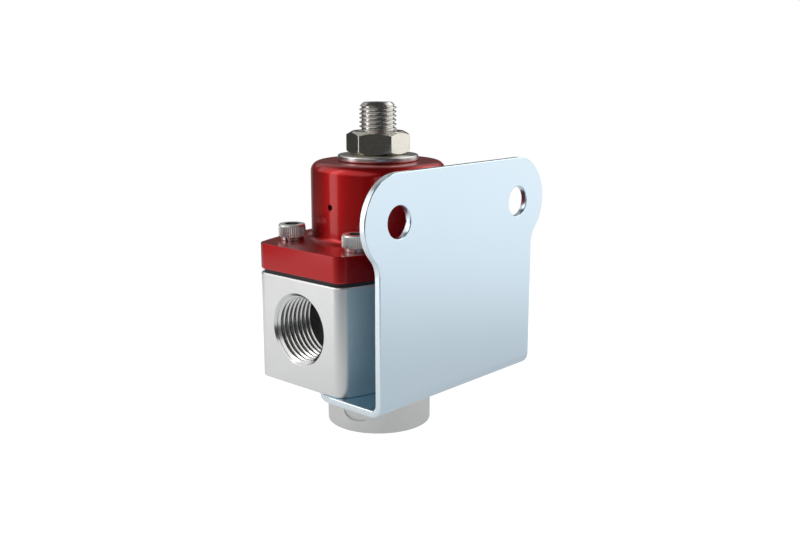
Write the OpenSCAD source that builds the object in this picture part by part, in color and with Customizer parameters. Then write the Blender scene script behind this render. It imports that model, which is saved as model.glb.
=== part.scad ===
// Return-style fuel pressure regulator with its mounting bracket, in millimetres.
// Z runs up the tower axis and the origin is the centre of the return fitting's lower face.
// The side ports lie along X, and the bracket's mounting face looks along +Y.

/* [Body block] */
// Length of the block along the port axis
block_l = 57; // [54:0.1:62]
// Width of block and flange across the middle, where their curved sides stand furthest out
block_w = 39.6; // [38:0.1:42]
// Width of the flat ends, to where the curved sides meet them
block_end_w = 27.2; // [26:0.1:30]
// Height of the block
block_h = 27; // [26.5:0.1:34]
// Radius of the upright corners of block and flange
block_corner_r = 2; // [1.5:0.1:4]
// Bevel of the edges of block and flange that face the diaphragm
block_bevel = 0.45; // [0.1:0.05:0.8]
// Bevel of the outer edges of block and flange
outer_bevel = 0.2; // [0.1:0.05:0.8]
// Diameter of the pressure chamber under the diaphragm
chamber_d = 26.8; // [24:0.1:28]
// Depth of the pressure chamber
chamber_depth = 6.8; // [5.5:0.1:7.5]
// Diameter of the well around the seat tube
well_d = 15.2; // [11:0.1:17]

/* [Side ports] */
// Diameter of the threaded port, to the root of its thread
port_d = 16.6; // [14:0.1:17]
// Depth of the threaded port
port_depth = 13.5; // [9:0.1:14]
// Height of the port axis above the block's lower face
port_up = 14.5; // [14:0.1:16]
// Countersink of the port mouth, measured on the radius
port_countersink = 0.75; // [0.2:0.05:1]
// Diameter of the passage from a port to the well
passage_d = 9.6; // [6:0.1:10]

/* [Bonnet] */
// Height of the flange
flange_h = 6.55; // [5:0.05:9]
// Diameter of the spring tower
tower_d = 34.5; // [32:0.1:34.8]
// Height of the tower above the flange
tower_h = 19.3; // [17:0.1:26]
// Rounding of the tower's top edge
tower_top_r = 2.5; // [1:0.1:4.5]
// Fillet between tower and flange
tower_foot_r = 1.4; // [0.3:0.1:1.5]
// Diameter of the spring cavity
cavity_d = 25.2; // [24.4:0.1:27]
// Thickness of the tower's roof, which carries the adjusting thread
roof_t = 6.9; // [5.5:0.1:8]
// Diameter of the vent hole
vent_d = 1.5; // [0.8:0.1:2.5]
// Height of the vent hole above the flange
vent_up = 8.9; // [5:0.1:10]

/* [Diaphragm and valve] */
// Thickness of the diaphragm
diaphragm_t = 0.8; // [0.5:0.05:1.5]
// Corner radius of the diaphragm, which shows as a step behind the flange corners
diaphragm_corner_r = 5; // [3:0.1:7]
// Diameter of the plate under the diaphragm
lower_plate_d = 21.6; // [16:0.1:23]
// Thickness of both diaphragm plates
plate_t = 1.2; // [0.8:0.1:1.8]
// Diameter of the spring cup
cup_d = 23.2; // [22.6:0.1:23.8]
// Height of the spring cup's rim
cup_rim_h = 2; // [1:0.1:3]
// Wall of the spring cup's rim
cup_rim_t = 0.8; // [0.5:0.05:1]
// Diameter of the stem that rivets the diaphragm
stem_d = 4; // [3:0.1:5]
// Diameter of the stem's valve holder
holder_d = 11.2; // [10.4:0.1:14]
// Height of the stem's valve holder
holder_h = 2.8; // [2.2:0.1:3.5]
// Diameter of the valve disc
disc_d = 8.5; // [8.2:0.1:9]
// Thickness of the valve disc
disc_t = 1.6; // [1:0.1:1.9]
// How far the disc stands out of its holder
disc_proud = 0.3; // [0.1:0.05:0.5]
// Diameter of the stem's upset end
rivet_head_d = 6.4; // [5.4:0.1:7]
// Height of the stem's upset end
rivet_head_h = 1.2; // [0.8:0.1:2]
// Diameter of the washer under the upset end
rivet_washer_d = 8.4; // [7.2:0.1:10]
// Thickness of the washer under the upset end
rivet_washer_t = 0.8; // [0.5:0.1:1.2]

/* [Spring] */
// Outer diameter of the coil
spring_od = 20; // [18:0.1:20.6]
// Diameter of the wire
spring_wire = 1.8; // [1.2:0.1:2]
// Number of open turns between the closed end turns
spring_open_turns = 2.75; // [2:0.25:3]
// Diameter of the upper spring seat
button_d = 21.2; // [20.8:0.1:23]
// Thickness of the upper seat's flange
button_flange_t = 1.5; // [1:0.1:2]
// Height of the pilot that centres the coil
button_pilot_h = 2; // [1:0.1:3]
// Diameter of the boss that takes the adjusting screw
button_boss_d = 10; // [8.4:0.1:13]
// Height of the boss above the flange
button_boss_h = 1.7; // [1.2:0.1:2.5]
// Depth of the socket in the boss
button_socket_depth = 1; // [0.6:0.1:1.1]
// Room between the upper seat and the tower's roof
button_headroom = 1.5; // [1.3:0.1:3]

/* [Adjusting screw and lock nut] */
// Major diameter of the adjusting thread
stud_d = 9.525; // [8:0.005:9.8]
// Height of the stud above the lock nut
stud_out = 7.2; // [5:0.1:12]
// Bevel at the stud's upper end
stud_bevel = 0.9; // [0.3:0.1:1.2]
// Diameter of the stud's lower nose
nose_d = 6; // [4:0.1:7]
// Length of the stud's lower nose
nose_l = 1.6; // [1.2:0.1:2.2]
// Width across the flats of the stud's hex socket
stud_socket_af = 4.76; // [3:0.01:5]
// Depth of the stud's hex socket
stud_socket_depth = 5.5; // [3:0.1:8]
// Diameter of the flat washer
washer_d = 20.64; // [18:0.02:24]
// Bore of the flat washer
washer_bore_d = 10.3; // [10.2:0.05:12]
// Thickness of the flat washer
washer_t = 1.6; // [1:0.1:2.5]
// Bevel of the flat washer's rim
washer_bevel = 0.35; // [0.1:0.05:0.45]
// Width across the flats of the lock nut
nut_af = 14.29; // [13:0.01:17]
// Height of the lock nut
nut_h = 5.9; // [4:0.1:8]
// How far the lock nut's round end faces stay inside its flats
nut_face_inset = 0.6; // [0.1:0.05:1]
// Turn of the lock nut's corners from the port axis
nut_turn = 7; // [0:1:59]

/* [Cap screws] */
// Distance from the block's end to the screw axis
screw_inset_x = 8.8; // [7:0.1:9]
// Distance from the block's side to the screw axis
screw_inset_y = 8.4; // [7.7:0.1:8.7]
// Thread diameter of the cap screws
screw_d = 4.16; // [3:0.01:4.4]
// Length of the cap screws under the head
screw_l = 15.9; // [14:0.1:17]
// Diameter of the screw heads
screw_head_d = 6.9; // [6:0.05:7.4]
// Height of the screw heads
screw_head_h = 3.05; // [2.4:0.05:4.5]
// Width across the flats of the screws' hex sockets
screw_socket_af = 3.57; // [2.5:0.01:4]
// Depth of the screws' hex sockets
screw_socket_depth = 1.6; // [1:0.1:1.8]
// Diameter of the split lock washers
lock_washer_d = 6.5; // [6:0.05:7.2]
// Thickness of the split lock washers
lock_washer_t = 1; // [0.6:0.05:1.4]
// Width of the cut in the split lock washers
lock_washer_cut = 0.5; // [0.3:0.05:0.8]

/* [Return fitting] */
// Diameter of the fitting's head
fitting_d = 27.3; // [25:0.1:32]
// Height of the fitting's head
fitting_h = 13.65; // [13.2:0.05:18]
// Diameter of the threaded return port, to the root of its thread
return_d = 16.6; // [14:0.1:17]
// Depth of the threaded return port
return_depth = 12.5; // [9:0.1:12.7]
// Diameter of the fitting's shank
shank_d = 19.05; // [18:0.05:20]
// Length of the fitting's shank
shank_l = 11; // [10:0.1:11.3]
// Depth of the two milled wrench flats
flat_depth = 0.45; // [0.2:0.05:1]
// Height of the wrench flats' lower end above the fitting's lower face
flat_up = 3.3; // [1.5:0.1:4]
// Diameter of the end mill that cuts the wrench flats
flat_cutter_d = 12; // [4:0.5:16]
// Turn of the wrench flats from the port axis
flat_turn = 19; // [0:1:89]
// Outer diameter of the brass seat tube
seat_od = 8; // [6.6:0.1:8]
// Bore of the brass seat tube
seat_id = 4.8; // [3:0.1:5]
// Length of the seat tube inside the fitting
seat_grip = 8; // [5:0.1:9]
// Cord diameter of the fitting's O-ring
oring_cord = 1.44; // [1.2:0.02:1.6]

/* [Bracket] */
// Sheet thickness
bracket_t = 1.7; // [1.2:0.1:3]
// Width between the straight sides
bracket_w = 58; // [56:0.1:66]
// Clear distance between block and upright plate
plate_gap = 6.4; // [5:0.1:12]
// Outer radius of the bend
bend_r = 3.2; // [3.1:0.1:5]
// Distance between the mounting holes
hole_spacing = 45.1; // [42:0.1:50]
// Height of the mounting holes above the bracket's underside
hole_up = 45.05; // [38:0.05:60]
// Diameter of the mounting holes
hole_d = 7.6; // [5:0.1:9]
// Radius of the ears around the mounting holes
ear_r = 11.2; // [10:0.1:13]
// Concave radius between ear and straight side
ear_blend_r = 6; // [3:0.1:9]
// Radius of the leg's free end around the shank
leg_end_r = 17.5; // [15:0.1:19]
// Radius of the leg's shoulders, where it narrows to the free end
leg_shoulder_r = 8.5; // [4:0.1:10]
// Distance of the shoulders' centres from the shank axis, towards the plate
leg_shoulder_y = 11.6; // [6:0.1:14]

/* [Clearances] */
// Radial clearance of running threads and pilots
running_gap = 0.05; // [0.02:0.01:0.1]
// Radial clearance around screws, stems and seals
free_gap = 0.15; // [0.1:0.01:0.25]
// Radial room around the spring cup in the mouth of its cavity
cup_room = 0.9; // [0.5:0.1:1]
// Radial room between the coil's lower end turn and the spring cup's rim
coil_room = 0.8; // [0.5:0.1:1.2]
// Gap left between seated faces of moving pieces
seat_gap = 0.05; // [0.02:0.01:0.1]

/* [Hidden] */
$fn = 96;
side_fn = 360;

// Heights of the stacked faces, from the bottom up
z_leg = fitting_h;
z_block = z_leg + bracket_t;
z_diaphragm = z_block + block_h;
z_flange = z_diaphragm + diaphragm_t;
z_flange_top = z_flange + flange_h;
z_tower_top = z_flange_top + tower_h;
tower_root_h = flange_h / 2;
z_nut = z_tower_top + washer_t;
z_nut_top = z_nut + nut_h;
z_stud_top = z_nut_top + stud_out;

// Inside the block
z_port = z_block + port_up;
z_chamber = z_diaphragm - chamber_depth;
shank_tip_room = 0.35;
z_shank_top = z_leg + shank_l;
z_well = z_shank_top + shank_tip_room;
passage_end = well_d / 4;
port_bottom = block_l / 2 - port_depth;

// Diaphragm assembly, from the seat up
z_lower_plate = z_diaphragm - plate_t;
z_holder = z_lower_plate - holder_h;
z_seat = z_holder - disc_proud;
z_cup_floor = z_flange + plate_t;
z_rivet = z_cup_floor + rivet_washer_t;
stem_hole_d = stem_d + 2 * free_gap;

// Mouth of the spring cavity, which the cup rises in as the valve lifts
cup_bore_d = cup_d + 2 * cup_room;
cup_lift_room = 2;
cup_bore_h = plate_t + cup_rim_h + cup_lift_room;

// Spring and its upper seat, from the roof down
z_roof = z_tower_top - roof_t;
z_button_top = z_roof - button_headroom;
z_button_flange = z_button_top - button_boss_h;
z_button = z_button_flange - button_flange_t;
spring_mean_r = (spring_od - spring_wire) / 2;
end_turn_od = cup_d - 2 * (cup_rim_t + coil_room);
end_turn_mean_r = (end_turn_od - spring_wire) / 2;
spring_bottom = z_cup_floor + seat_gap;
spring_top = z_button - seat_gap;
button_pilot_d = spring_od - 2 * spring_wire - 4 * free_gap;
thread_bore_d = stud_d + 2 * running_gap;

// Screw places and levels, and the spot faces that keep their heads clear of the tower
screw_x = block_l / 2 - screw_inset_x;
screw_y = block_w / 2 - screw_inset_y;
side_rise = (block_w - block_end_w) / 2;
side_r = (pow(block_l / 2, 2) + pow(side_rise, 2)) / (2 * side_rise);
side_axis = side_r - block_w / 2;
spot_face_d = max(screw_head_d, lock_washer_d) + 2 * free_gap;
z_screw_head = z_flange_top + lock_washer_t;
z_screw_tip = z_screw_head - screw_l;
screw_tip_room = 1.2;
screw_clear_d = screw_d + 2 * free_gap;

// Return fitting and its seal
z_seat_foot = z_shank_top - seat_grip;
oring_r = shank_d / 2 + free_gap / 4 + oring_cord / 2;
oring_groove_d = 2 * oring_r + oring_cord + 2 * free_gap;
oring_groove_h = oring_cord + free_gap / 2;

// Bracket outline
plate_outer_y = block_w / 2 + plate_gap + bracket_t;
plate_foot_z = z_leg + bend_r;
hole_z = z_leg + hole_up;
ear_x = hole_spacing / 2;
side_x = bracket_w / 2;
blend_x = side_x + ear_blend_r;
blend_drop = sqrt(pow(ear_r + ear_blend_r, 2) - pow(blend_x - ear_x, 2));
shoulder_x = side_x - leg_shoulder_r;
leg_hole_d = shank_d + 4 * free_gap;

// Small finishing sizes
cut = 1;
edge_break = 0.3;
blend_overlap = 0.01;
nut_chamfer_angle = 30;

// Right half of a bevelled rectangle, from the middle line out to half its width
function bevelled_half(half, h, low, high) =
    [[half - low, 0], [half, low], [half, h - high], [half - high, h]];

// Solid of revolution with radius r whose lower and upper edges are bevelled
module bevelled_round(r, h, low, high) {
    rotate_extrude()
        polygon(concat([[0, 0]], bevelled_half(r, h, low, high), [[0, h]]));
}

// Bar along X whose cross-section is a rectangle with bevelled lower and upper edges
module bevelled_bar(l, w, h, low, high) {
    half = bevelled_half(w / 2, h, low, high);
    translate([-l / 2, 0, 0])
        rotate([90, 0, 90])
            linear_extrude(l)
                polygon(concat(half, [for (i = [3 : -1 : 0]) [-half[i][0], half[i][1]]]));
}

// Centre of a corner round of radius r that touches a flat end and a curved side
function corner_at(r) =
    let (x = block_l / 2 - r)
    [x, sqrt(pow(side_r - r, 2) - x * x) - side_axis + blend_overlap];

// Flat region that only the curved sides bound: it ends on the lines where the corner rounds touch them
module between_corners(r) {
    c = corner_at(r);
    p = c + 2 * r * [c[0], c[1] + side_axis] / (side_r - r);
    polygon([c, p, [p[0], block_w], [-p[0], block_w], [-p[0], p[1]], [-c[0], c[1]],
        [-c[0], -c[1]], [-p[0], -p[1]], [-p[0], -block_w], [p[0], -block_w], [p[0], -p[1]], [c[0], -c[1]]]);
}

// Block with flat ends, curved sides, round upright corners and bevelled lower and upper edges
module bevelled_block(h, low, high) {
    c = corner_at(block_corner_r);
    intersection() {
        translate([0, -side_axis, 0])
            bevelled_round(side_r, h, low, high, $fn = side_fn);
        translate([0, side_axis, 0])
            bevelled_round(side_r, h, low, high, $fn = side_fn);
        linear_extrude(h)
            between_corners(block_corner_r);
    }
    rotate(90)
        bevelled_bar(2 * c[1], block_l, h, low, high);
    for (sx = [-1, 1], sy = [-1, 1])
        translate([sx * c[0], sy * c[1], 0])
            bevelled_round(block_corner_r, h, low, high);
}

// Flat outline of the block, set in from its sides, with corner rounds of radius corner_r before that
module block_outline(inset, corner_r) {
    c = corner_at(corner_r);
    intersection() {
        translate([0, -side_axis])
            circle(side_r - inset, $fn = side_fn);
        translate([0, side_axis])
            circle(side_r - inset, $fn = side_fn);
        between_corners(corner_r);
    }
    square([block_l - 2 * inset, 2 * c[1]], center = true);
    for (sx = [-1, 1], sy = [-1, 1])
        translate([sx * c[0], sy * c[1]])
            circle(corner_r - inset);
}

// Puts its children at the four screw axes
module at_screws() {
    for (sx = [-1, 1], sy = [-1, 1])
        translate([sx * screw_x, sy * screw_y, 0])
            children();
}

// Hexagonal prism, sized across its flats
module hexagon(af, h) {
    cylinder(d = af / cos(30), h = h, $fn = 6);
}

// Flat ring
module ring(outer_d, bore_d, h) {
    difference() {
        cylinder(d = outer_d, h = h);
        translate([0, 0, -cut])
            cylinder(d = bore_d, h = h + 2 * cut);
    }
}

// One side port along X: thread bore, countersunk mouth and the passage to the well
module port_cut() {
    translate([0, 0, z_port])
        rotate([0, 90, 0]) {
            translate([0, 0, port_bottom])
                cylinder(d = port_d, h = port_depth + cut);
            translate([0, 0, block_l / 2 - port_countersink])
                cylinder(d1 = port_d, d2 = port_d + 2 * (port_countersink + cut),
                    h = port_countersink + cut);
            translate([0, 0, passage_end])
                cylinder(d = passage_d, h = port_bottom - passage_end + cut);
        }
}

module body() {
    color("gainsboro")
        difference() {
            translate([0, 0, z_block])
                bevelled_block(block_h, outer_bevel, block_bevel);
            // Pressure chamber, well, shank bore and seal groove on the axis
            translate([0, 0, z_chamber])
                cylinder(d = chamber_d, h = chamber_depth + cut);
            translate([0, 0, z_well - cut])
                cylinder(d = well_d, h = z_chamber - z_well + 2 * cut);
            translate([0, 0, z_block - cut])
                cylinder(d = shank_d + 2 * running_gap, h = z_well - z_block + cut);
            translate([0, 0, z_block - cut])
                cylinder(d = oring_groove_d, h = oring_groove_h + cut);
            port_cut();
            rotate(180)
                port_cut();
            at_screws()
                translate([0, 0, z_screw_tip - screw_tip_room])
                    cylinder(d = screw_d + 2 * running_gap, h = z_diaphragm);
        }
}

// Outer form of the tower: straight wall, rounded top edge, a fillet at the foot and a root in the flange
module tower_form() {
    r = tower_d / 2;
    rotate_extrude() {
        translate([0, -tower_root_h])
            square([r, 2 * tower_root_h]);
        difference() {
            square([r, tower_h]);
            translate([r - tower_top_r, tower_h - tower_top_r])
                square(tower_top_r + cut);
        }
        translate([r - tower_top_r, tower_h - tower_top_r])
            intersection() {
                circle(tower_top_r);
                square(tower_top_r);
            }
        difference() {
            square([r + tower_foot_r, tower_foot_r]);
            translate([r + tower_foot_r, tower_foot_r])
                circle(tower_foot_r);
        }
    }
}

module bonnet() {
    color("firebrick")
        difference() {
            union() {
                translate([0, 0, z_flange])
                    bevelled_block(flange_h, block_bevel, outer_bevel);
                // The tower's foot ends at the flange's sides
                intersection() {
                    translate([0, 0, z_flange_top])
                        tower_form();
                    translate([0, 0, z_flange_top - tower_root_h])
                        linear_extrude(tower_root_h + tower_h + cut)
                            block_outline(outer_bevel, block_corner_r);
                }
            }
            // Spring cavity with a flared mouth, then the adjusting thread
            translate([0, 0, z_flange - cut])
                cylinder(d = cavity_d, h = z_roof - z_flange + cut);
            translate([0, 0, z_flange - cut])
                cylinder(d1 = cavity_d + 2 * (plate_t + cut), d2 = cavity_d, h = plate_t + cut);
            translate([0, 0, z_flange - cut])
                cylinder(d = cup_bore_d, h = cup_bore_h + cut);
            translate([0, 0, z_roof - cut])
                cylinder(d = thread_bore_d, h = roof_t + 2 * cut);
            translate([0, 0, z_flange_top + vent_up])
                rotate([0, 90, 0])
                    cylinder(d = vent_d, h = tower_d);
            at_screws()
                translate([0, 0, z_flange - cut])
                    cylinder(d = screw_clear_d, h = flange_h + 2 * cut);
            at_screws()
                translate([0, 0, z_flange_top])
                    cylinder(d = spot_face_d, h = tower_h + cut);
        }
}

module diaphragm() {
    color("black")
        difference() {
            translate([0, 0, z_diaphragm])
                linear_extrude(diaphragm_t)
                    block_outline(block_bevel, diaphragm_corner_r);
            translate([0, 0, z_diaphragm - cut])
                cylinder(d = stem_hole_d, h = diaphragm_t + 2 * cut);
            at_screws()
                translate([0, 0, z_diaphragm - cut])
                    cylinder(d = screw_clear_d, h = diaphragm_t + 2 * cut);
        }
}

module lower_plate() {
    color("silver")
        difference() {
            translate([0, 0, z_lower_plate])
                bevelled_round(lower_plate_d / 2, plate_t, edge_break, edge_break);
            translate([0, 0, z_lower_plate - cut])
                cylinder(d = stem_hole_d, h = plate_t + 2 * cut);
        }
}

// Pressed cup: floor on the diaphragm and an upright rim around the coil
module spring_cup() {
    color("silver")
        translate([0, 0, z_flange])
            difference() {
                cylinder(d = cup_d, h = plate_t + cup_rim_h);
                translate([0, 0, plate_t])
                    cylinder(d = cup_d - 2 * cup_rim_t, h = cup_rim_h + cut);
                translate([0, 0, -cut])
                    cylinder(d = stem_hole_d, h = plate_t + 2 * cut);
            }
}

// Turned stem: valve holder below, shank through the plates and a domed upset end
module valve_stem() {
    dome_r = (pow(rivet_head_d / 2, 2) + pow(rivet_head_h, 2)) / (2 * rivet_head_h);
    color("lightsteelblue")
        difference() {
            union() {
                translate([0, 0, z_holder])
                    bevelled_round(holder_d / 2, holder_h, edge_break, edge_break);
                translate([0, 0, z_lower_plate - cut])
                    cylinder(d = stem_d, h = z_rivet - z_lower_plate + 2 * cut);
                intersection() {
                    translate([0, 0, z_rivet + rivet_head_h - dome_r])
                        sphere(dome_r);
                    translate([0, 0, z_rivet])
                        cylinder(d = rivet_head_d + cut, h = rivet_head_h + cut);
                }
            }
            translate([0, 0, z_seat - cut])
                cylinder(d = disc_d, h = disc_t + cut);
        }
}

module valve_disc() {
    color("dimgray")
        translate([0, 0, z_seat])
            cylinder(d = disc_d, h = disc_t);
}

module rivet_washer() {
    color("silver")
        translate([0, 0, z_cup_floor])
            ring(rivet_washer_d, stem_hole_d, rivet_washer_t);
}

// Height of the coil's centre line after a given number of turns, with one closed turn at each end
function coil_z(turn, low, high) =
    turn < 1 ? low + spring_wire * turn :
    turn > 1 + spring_open_turns ? high - spring_wire * (2 + spring_open_turns - turn) :
    low + spring_wire + (high - low - 2 * spring_wire) * (turn - 1) / spring_open_turns;

// Radius of the coil's centre line: the lower end turn fits the cup, then the coil takes its own diameter
function coil_r(turn) =
    let (share = min(max((turn - 1.25) / 0.5, 0), 1))
    end_turn_mean_r + (spring_mean_r - end_turn_mean_r) * share;

// Coil swept as rings of points along a helix
module coil(low, high) {
    ring_sides = 10;
    steps_per_turn = 20;
    turns = spring_open_turns + 2;
    rings = turns * steps_per_turn;
    points = [for (i = [0 : rings], k = [0 : ring_sides - 1])
        let (
            turn = i / steps_per_turn,
            around = 360 * k / ring_sides,
            r = coil_r(turn) + spring_wire / 2 * cos(around)
        )
        [r * cos(360 * turn), r * sin(360 * turn), coil_z(turn, low, high) + spring_wire / 2 * sin(around)]];
    sides = [for (i = [0 : rings - 1], k = [0 : ring_sides - 1])
        let (next = (k + 1) % ring_sides)
        [i * ring_sides + k, (i + 1) * ring_sides + k, (i + 1) * ring_sides + next, i * ring_sides + next]];
    first_end = [for (k = [0 : ring_sides - 1]) k];
    last_end = [for (k = [ring_sides - 1 : -1 : 0]) rings * ring_sides + k];
    polyhedron(points, concat(sides, [first_end, last_end]), convexity = 10);
}

// Coil spring whose end turns are ground flat
module spring() {
    grind = spring_wire / 4;
    color("slategray")
        intersection() {
            coil(spring_bottom + grind, spring_top - grind);
            translate([0, 0, spring_bottom])
                cylinder(d = max(spring_od, end_turn_od) + 2 * cut, h = spring_top - spring_bottom);
        }
}

// Turned upper spring seat: pilot in the coil, flange on it and a boss with a socket for the screw's nose
module spring_button() {
    pilot_bevel = button_pilot_h / 4;
    color("silver")
        difference() {
            union() {
                translate([0, 0, z_button - button_pilot_h])
                    rotate_extrude()
                        polygon([[0, 0], [button_pilot_d / 2 - pilot_bevel, 0],
                            [button_pilot_d / 2, pilot_bevel], [button_pilot_d / 2, button_pilot_h + cut / 2],
                            [0, button_pilot_h + cut / 2]]);
                translate([0, 0, z_button])
                    bevelled_round(button_d / 2, button_flange_t, edge_break, edge_break);
                translate([0, 0, z_button_flange - cut / 2])
                    cylinder(d = button_boss_d, h = button_boss_h + cut / 2);
            }
            translate([0, 0, z_button_top - button_socket_depth])
                cylinder(d = nose_d + 2 * running_gap, h = button_socket_depth + cut);
        }
}

module adjusting_screw() {
    r = stud_d / 2;
    nose_r = nose_d / 2;
    z_nose = z_button_top - button_socket_depth + seat_gap;
    z_thread = z_nose + nose_l;
    color("lightgray")
        difference() {
            rotate_extrude()
                polygon([[0, z_nose], [nose_r - edge_break, z_nose], [nose_r, z_nose + edge_break],
                    [nose_r, z_thread], [r - stud_bevel, z_thread], [r, z_thread + stud_bevel],
                    [r, z_stud_top - stud_bevel], [r - stud_bevel, z_stud_top], [0, z_stud_top]]);
            translate([0, 0, z_stud_top - stud_socket_depth])
                hexagon(stud_socket_af, stud_socket_depth + cut);
        }
}

module washer() {
    color("gainsboro")
        difference() {
            translate([0, 0, z_tower_top])
                bevelled_round(washer_d / 2, washer_t, washer_bevel, washer_bevel);
            translate([0, 0, z_tower_top - cut])
                cylinder(d = washer_bore_d, h = washer_t + 2 * cut);
        }
}

// Jam nut: hexagon with both ends chamfered to a round face
module lock_nut() {
    corner_r = nut_af / 2 / cos(30);
    face_r = nut_af / 2 - nut_face_inset;
    drop = (corner_r - face_r) * tan(nut_chamfer_angle);
    color("lightgray")
        difference() {
            intersection() {
                translate([0, 0, z_nut])
                    rotate(nut_turn)
                        hexagon(nut_af, nut_h);
                translate([0, 0, z_nut])
                    rotate_extrude()
                        polygon([[0, 0], [face_r, 0], [corner_r, drop],
                            [corner_r, nut_h - drop], [face_r, nut_h], [0, nut_h]]);
            }
            translate([0, 0, z_nut - cut])
                cylinder(d = thread_bore_d, h = nut_h + 2 * cut);
        }
}

module cap_screws() {
    color("silver")
        at_screws()
            difference() {
                union() {
                    translate([0, 0, z_screw_tip])
                        cylinder(d = screw_d, h = screw_l + cut / 2);
                    translate([0, 0, z_screw_head])
                        rotate_extrude()
                            polygon([[0, 0], [screw_head_d / 2, 0],
                                [screw_head_d / 2, screw_head_h - edge_break],
                                [screw_head_d / 2 - edge_break, screw_head_h], [0, screw_head_h]]);
                }
                translate([0, 0, z_screw_head + screw_head_h - screw_socket_depth])
                    hexagon(screw_socket_af, screw_socket_depth + cut);
            }
}

module lock_washers() {
    color("gray")
        at_screws()
            translate([0, 0, z_flange_top])
                difference() {
                    ring(lock_washer_d, screw_clear_d, lock_washer_t);
                    translate([0, -lock_washer_cut / 2, -cut])
                        cube([lock_washer_d, lock_washer_cut, lock_washer_t + 2 * cut]);
                }
}

// Path of the end mill that cuts one wrench flat: in from the head's upper face and round at its lower end
module flat_path() {
    end_z = flat_up + flat_cutter_d / 2;
    translate([-end_z, 0])
        circle(d = flat_cutter_d);
    translate([-fitting_h - cut, -flat_cutter_d / 2])
        square([fitting_h + cut - end_z, flat_cutter_d]);
}

module bottom_fitting() {
    color("darkgray")
        difference() {
            union() {
                bevelled_round(fitting_d / 2, fitting_h, edge_break, edge_break);
                cylinder(d = shank_d, h = z_shank_top);
            }
            translate([0, 0, -cut])
                cylinder(d = return_d, h = return_depth + cut);
            cylinder(d = seat_id, h = z_seat_foot + cut);
            translate([0, 0, z_seat_foot])
                cylinder(d = seat_od, h = seat_grip + cut);
            for (turn = [flat_turn, flat_turn + 180])
                rotate(turn)
                    translate([fitting_d / 2 - flat_depth, 0, 0])
                        rotate([0, 90, 0])
                            linear_extrude(flat_depth + cut)
                                flat_path();
        }
}

// Seat tube with a narrow nose that the valve disc closes
module valve_seat() {
    nose_h = (seat_od - seat_id) / 4;
    color("goldenrod")
        difference() {
            rotate_extrude()
                polygon([[0, z_seat_foot], [seat_od / 2, z_seat_foot], [seat_od / 2, z_seat - nose_h],
                    [seat_od / 2 - nose_h, z_seat], [0, z_seat]]);
            translate([0, 0, z_seat_foot - cut])
                cylinder(d = seat_id, h = z_seat - z_seat_foot + 2 * cut);
        }
}

module fitting_oring() {
    color("black")
        translate([0, 0, z_block + oring_groove_h / 2])
            rotate_extrude()
                translate([oring_r, 0])
                    circle(d = oring_cord);
}

// Half of the blend between an ear and the straight side, on the +X side
module ear_blend() {
    difference() {
        polygon([[side_x, hole_z - blend_drop], [blend_x, hole_z - blend_drop],
            [ear_x, hole_z], [ear_x, hole_z - blend_drop]]);
        translate([blend_x, hole_z - blend_drop])
            circle(ear_blend_r + blend_overlap);
    }
}

// Front outline of the upright plate, above the bend
module plate_outline() {
    translate([-side_x, plate_foot_z])
        square([bracket_w, hole_z - plate_foot_z]);
    translate([-ear_x, plate_foot_z])
        square([hole_spacing, hole_z + ear_r - plate_foot_z]);
    for (s = [0, 1])
        mirror([s, 0]) {
            translate([ear_x, hole_z])
                circle(ear_r);
            ear_blend();
        }
}

// Plan outline of the leg: full width at the bend, then narrowing to a round end about the shank
module leg_outline() {
    reach = sqrt(pow(shoulder_x, 2) + pow(leg_shoulder_y, 2));
    tangent = atan2(leg_shoulder_y, shoulder_x) - acos((leg_end_r - leg_shoulder_r) / reach);
    out = [cos(tangent), sin(tangent)];
    circle(leg_end_r);
    translate([-side_x, leg_shoulder_y])
        square([bracket_w, plate_outer_y - bend_r - leg_shoulder_y]);
    for (s = [0, 1])
        mirror([s, 0]) {
            translate([shoulder_x, leg_shoulder_y])
                circle(leg_shoulder_r + blend_overlap);
            polygon([[0, 0], (leg_end_r - blend_overlap) * out,
                [shoulder_x, leg_shoulder_y] + (leg_shoulder_r - blend_overlap) * out,
                [shoulder_x, leg_shoulder_y], [0, leg_shoulder_y]]);
        }
}

// Quarter ring of the bend, along the whole width
module bend() {
    translate([-side_x, plate_outer_y - bend_r, plate_foot_z])
        rotate([90, 0, 90])
            linear_extrude(bracket_w)
                intersection() {
                    difference() {
                        circle(bend_r);
                        circle(bend_r - bracket_t);
                    }
                    translate([0, -bend_r])
                        square(bend_r);
                }
}

module bracket() {
    color("lightsteelblue")
        difference() {
            union() {
                translate([0, plate_outer_y, 0])
                    rotate([90, 0, 0])
                        linear_extrude(bracket_t)
                            plate_outline();
                bend();
                translate([0, 0, z_leg])
                    linear_extrude(bracket_t)
                        leg_outline();
            }
            for (s = [-1, 1])
                translate([s * ear_x, plate_outer_y + cut, hole_z])
                    rotate([90, 0, 0])
                        cylinder(d = hole_d, h = bracket_t + 2 * cut);
            translate([0, 0, z_leg - cut])
                cylinder(d = leg_hole_d, h = bracket_t + 2 * cut);
        }
}

body();
bonnet();
diaphragm();
lower_plate();
spring_cup();
valve_stem();
valve_disc();
rivet_washer();
spring();
spring_button();
adjusting_screw();
washer();
lock_nut();
cap_screws();
lock_washers();
bottom_fitting();
valve_seat();
fitting_oring();
bracket();
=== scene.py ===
import math
import bpy
from mathutils import Matrix, Vector


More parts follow.
